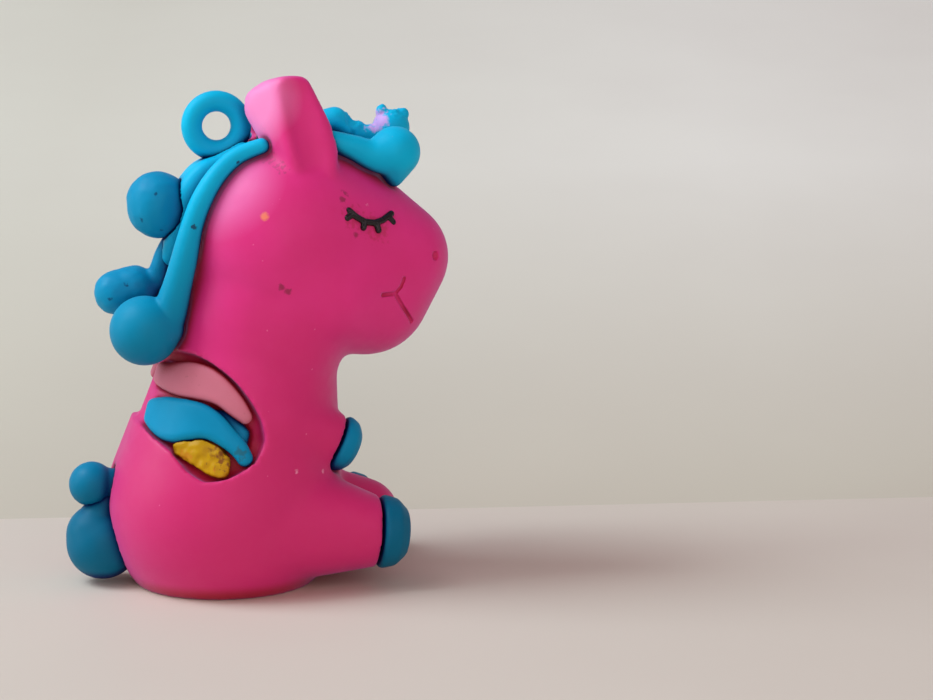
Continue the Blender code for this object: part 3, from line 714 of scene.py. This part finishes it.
# Which neighbours a piece makes room for.
MAKES_ROOM_FOR = {
    "mane_crest": [
        "mane_upper_curl",
        "mane_middle_curl",
        "mane_lock_right",
        "mane_lock_left",
        "keyring_loop",
    ],
    "mane_middle_curl": ["mane_upper_curl", "mane_lock_right", "mane_lock_left"],
    "forelock_base": ["forelock_right", "forelock_left", "mane_crest"],
    "tail_upper_curl": ["tail_lower_curl"],
}
for side, _ in BOTH:
    MAKES_ROOM_FOR["feather_middle_" + side] = ["feather_upper_" + side]
    MAKES_ROOM_FOR["feather_lower_" + side] = ["feather_middle_" + side]

# Voxel size and smoothing rounds of pieces finer than the rest.
FINER = {"eye": (0.09, 5), "feather": (0.14, 7), "feather_lower": (0.12, 5), "forelock_left": (0.14, 4)}


def detail_of(name):
    """Voxel size and smoothing rounds of a piece."""
    found = [key for key in FINER if name.startswith(key)]
    return FINER[max(found, key=len)] if found else (FINE, 10)


# Voxel size and smoothing rounds of the body while it is built up, and of what is cut out of it.
DRAFT_BODY, JOINED_BODY = (0.4, 16), (0.3, 7)
DRAFT_EAR, HOLLOWED_EAR = (0.25, 14), (0.25, 6)
BROAD_CUT, SOCKET_CUT, MOUTH_CUT, NOSTRIL_CUT = (0.25, 8), (0.3, 3), (0.12, 3), (0.12, 2)
ROOM_CUT = (0.25, 3)
# The share of the gap that one coloured piece leaves round another.
ROOM_SHARE = 0.6
# How much larger a thin ear is drafted, because smoothing shrinks it again.
EAR_ALLOWANCE = 0.15

# Surfaces torn or worn by noise: size of its lumps, depth, centre (None is all over), reach, share of
# finer lumps.
TORN = {
    "feather_lower": [(1.8, 0.55, None, 1.0, 0.3)],
    "forelock_left": [
        (1.1, 0.50, (16.9, -2.8, 54.4), 1.8, 0.35),
        (1.0, 0.50, (12.6, -2.5, 53.0), 1.8, 0.35),
    ],
    "mane_upper_curl": [(2.2, 0.10, None, 1.0, 0.5)],
    "mane_middle_curl": [(2.2, 0.10, None, 1.0, 0.5)],
}


def build_body():
    """Trunk, head and limbs with the ears moulded on and room cut for every other piece but the eyes."""
    groups = [HEAD, TRUNK, NECK, LAP, ARM_RIGHT, ARM_LEFT, LEG_RIGHT, LEG_LEFT]
    body = blob("figure_body", groups, *DRAFT_BODY)
    ear = blob("ear", grown([EAR_RIGHT], EAR_ALLOWANCE), *DRAFT_EAR)
    cut(ear, blob("hollow", chain(EAR_HOLLOW_RIGHT), *BROAD_CUT))
    soften(ear, *HOLLOWED_EAR)
    joined = bmesh.new()
    joined.from_mesh(body.data)
    joined.from_mesh(ear.data)
    forward, up = EAR_LEFT_SHIFT
    other_side = Matrix.Translation(at(forward, 0, up) - at(0, 0, 0)) @ Matrix.Scale(-1, 4, (1, 0, 0))
    ear.data.transform(other_side)
    ear.data.flip_normals()
    joined.from_mesh(ear.data)
    joined.to_mesh(body.data)
    joined.free()
    bpy.data.objects.remove(ear)
    soften(body, *JOINED_BODY)
    cut(body, box("table", (0, 0, BASE_LEVEL), (0, 0, -1)))
    for _, turned in BOTH:
        cut(body, blob("pocket", turned(pocket()), *BROAD_CUT))
    for name, (piece_groups, _, _) in PIECES.items():
        if not name.startswith("eye"):
            cut(body, blob("socket", grown(piece_groups, GAP), *SOCKET_CUT))
    soften(body, BODY_VOXEL, 3)
    for _, turned in BOTH:
        for line in MOUTH_RIGHT:
            cut(body, blob("mouth", turned(wire(line, LIP_WIRE)), *MOUTH_CUT))
        cut(body, blob("nostril", turned([[NOSTRIL_RIGHT]]), *NOSTRIL_CUT))
    return body


body = build_body()
finish_piece(body, pink, "pink_rubber", "body")
for name, (groups, tree, slot) in PIECES.items():
    voxel, rounds = detail_of(name)
    piece = blob("soft_" + name, groups, voxel, rounds)
    for neighbour in MAKES_ROOM_FOR.get(name, []):
        cut(piece, blob("room", grown(PIECES[neighbour][0], GAP * ROOM_SHARE), *ROOM_CUT))
    if name in MAKES_ROOM_FOR:
        soften(piece, voxel, 2)
    for tears in [tears for key, tears in TORN.items() if name.startswith(key)]:
        for tear in tears:
            roughen(piece, *tear)
    finish_piece(piece, tree, slot, name)

# ---------------------------------------------------------------- the studio


AZIMUTH, ELEVATION, DISTANCE = math.radians(-103), math.radians(9), 0.260
TARGET = Vector((-0.0013, -0.0241, 0.0252))
FRAME_WIDTH = 0.1073
BACK = Vector(
    (
        math.sin(AZIMUTH) * math.cos(ELEVATION),
        -math.cos(AZIMUTH) * math.cos(ELEVATION),
        math.sin(ELEVATION),
    )
)
LEVEL = Vector((BACK.x, BACK.y, 0)).normalized()
ASIDE = Vector((-LEVEL.y, LEVEL.x, 0))
UP = Vector((0, 0, 1))
# The backdrop starts this far behind the target, is turned a little, and rises gently from there.
WALL_BEHIND = 0.0286
WALL_TURN, WALL_SLOPE = math.radians(6), math.radians(16)
FLOOR_REACH = 1.2
SENSOR_WIDTH = 36
LAMPS_AIM = Vector((0, 0, 0.03))
# Where a stage surface changes colour, from left to right and upwards, in metres.
COLOUR_LEFT, COLOUR_RIGHT, COLOUR_HEIGHT = -0.05, 0.07, 0.035

ground = Vector((TARGET.x, TARGET.y, 0))
edge = ground - LEVEL * WALL_BEHIND
along = ASIDE * math.cos(WALL_TURN) - LEVEL * math.sin(WALL_TURN)
rise = UP * math.sin(WALL_SLOPE) - LEVEL * math.cos(WALL_SLOPE)
near_edge = ground + LEVEL * FLOOR_REACH


def plain(name, colour, far_colour, low_colour, roughness):
    """A matt surface whose colour changes slowly from its left to its right and towards its foot."""
    tree = Tree(name)
    across = tree.node("ShaderNodeVectorMath", {0: tree.place, 1: ASIDE}, operation="DOT_PRODUCT")
    share = tree.span(across.outputs["Value"], COLOUR_LEFT, COLOUR_RIGHT)
    base = tree.blend(share, rgb(*colour), rgb(*far_colour))
    height = tree.node("ShaderNodeSeparateXYZ", {0: tree.place}).outputs["Z"]
    base = tree.blend(tree.span(height, COLOUR_HEIGHT, 0.0, 0.0, 0.9), base, rgb(*low_colour))
    shade = tree.span(tree.noise(45.0, 4), 0.3, 0.7, 0.0, 0.06)
    tree.feed(tree.shader.inputs["Base Color"], tree.blend(shade, base, rgb(0.35, 0.28, 0.24)))
    tree.shader.inputs["Roughness"].default_value = roughness
    tree.shader.inputs["Specular IOR Level"].default_value = 0.2
    return tree.material


def sheet(name, corners, material):
    """One flat surface of the stage."""
    mesh = bpy.data.meshes.new(name)
    mesh.from_pydata([tuple(c) for c in corners], [], [(0, 1, 2, 3)])
    mesh.materials.append(material)
    obj = place(name, mesh)


floor_colour = plain("pale_floor", (0.66, 0.64, 0.52), (0.76, 0.73, 0.61), (0.69, 0.67, 0.55), 0.6)
wall_colour = plain("pale_wall", (0.68, 0.71, 0.58), (0.84, 0.89, 0.77), (0.56, 0.56, 0.43), 0.8)
sheet("floor", [edge - along, near_edge - along, near_edge + along, edge + along], floor_colour)
sheet("backdrop", [edge - along, edge + along, edge + along + rise, edge - along + rise], wall_colour)

camera = bpy.data.objects.new("camera", bpy.data.cameras.new("camera"))
bpy.context.scene.collection.objects.link(camera)
camera.location = TARGET + BACK * DISTANCE
camera.rotation_euler = BACK.to_track_quat("Z", "Y").to_euler()
camera.data.sensor_width = SENSOR_WIDTH
camera.data.lens = SENSOR_WIDTH * DISTANCE / FRAME_WIDTH
camera.data.clip_start = 0.01
bpy.context.scene.camera = camera


def lamp(name, aside, level, up, size, watts, colour):
    """A soft lamp aimed at the figure; it stands aside, towards the camera and up from the ground."""
    data = bpy.data.lights.new(name, "AREA")
    data.size = size
    data.energy = watts
    data.color = colour
    obj = bpy.data.objects.new(name, data)
    bpy.context.scene.collection.objects.link(obj)
    obj.location = ground + ASIDE * aside + LEVEL * level + UP * up
    obj.rotation_euler = (obj.location - LAMPS_AIM).to_track_quat("Z", "Y").to_euler()


lamp("key", -0.45, 0.25, 0.80, 0.50, 1.6, (0.92, 0.92, 1.0))
lamp("rim", -0.70, 0.14, 0.22, 0.26, 1.10, (0.75, 0.96, 1.0))
lamp("back_left", -0.45, 0.02, 0.50, 0.30, 2.6, (0.78, 0.87, 1.0))
lamp("fill", 0.10, 0.80, 0.30, 0.70, 1.8, (1.0, 0.76, 0.81))
lamp("right", 0.60, 0.35, 0.35, 0.40, 0.43, (1.0, 0.87, 0.87))
world = bpy.data.worlds.new("studio")
world.use_nodes = True
world.node_tree.nodes["Background"].inputs[0].default_value = (1.0, 0.73, 0.82, 1.0)
world.node_tree.nodes["Background"].inputs[1].default_value = 0.32
bpy.context.scene.world = world
bpy.context.scene.view_settings.view_transform = "Standard"

bpy.context.view_layer.update()
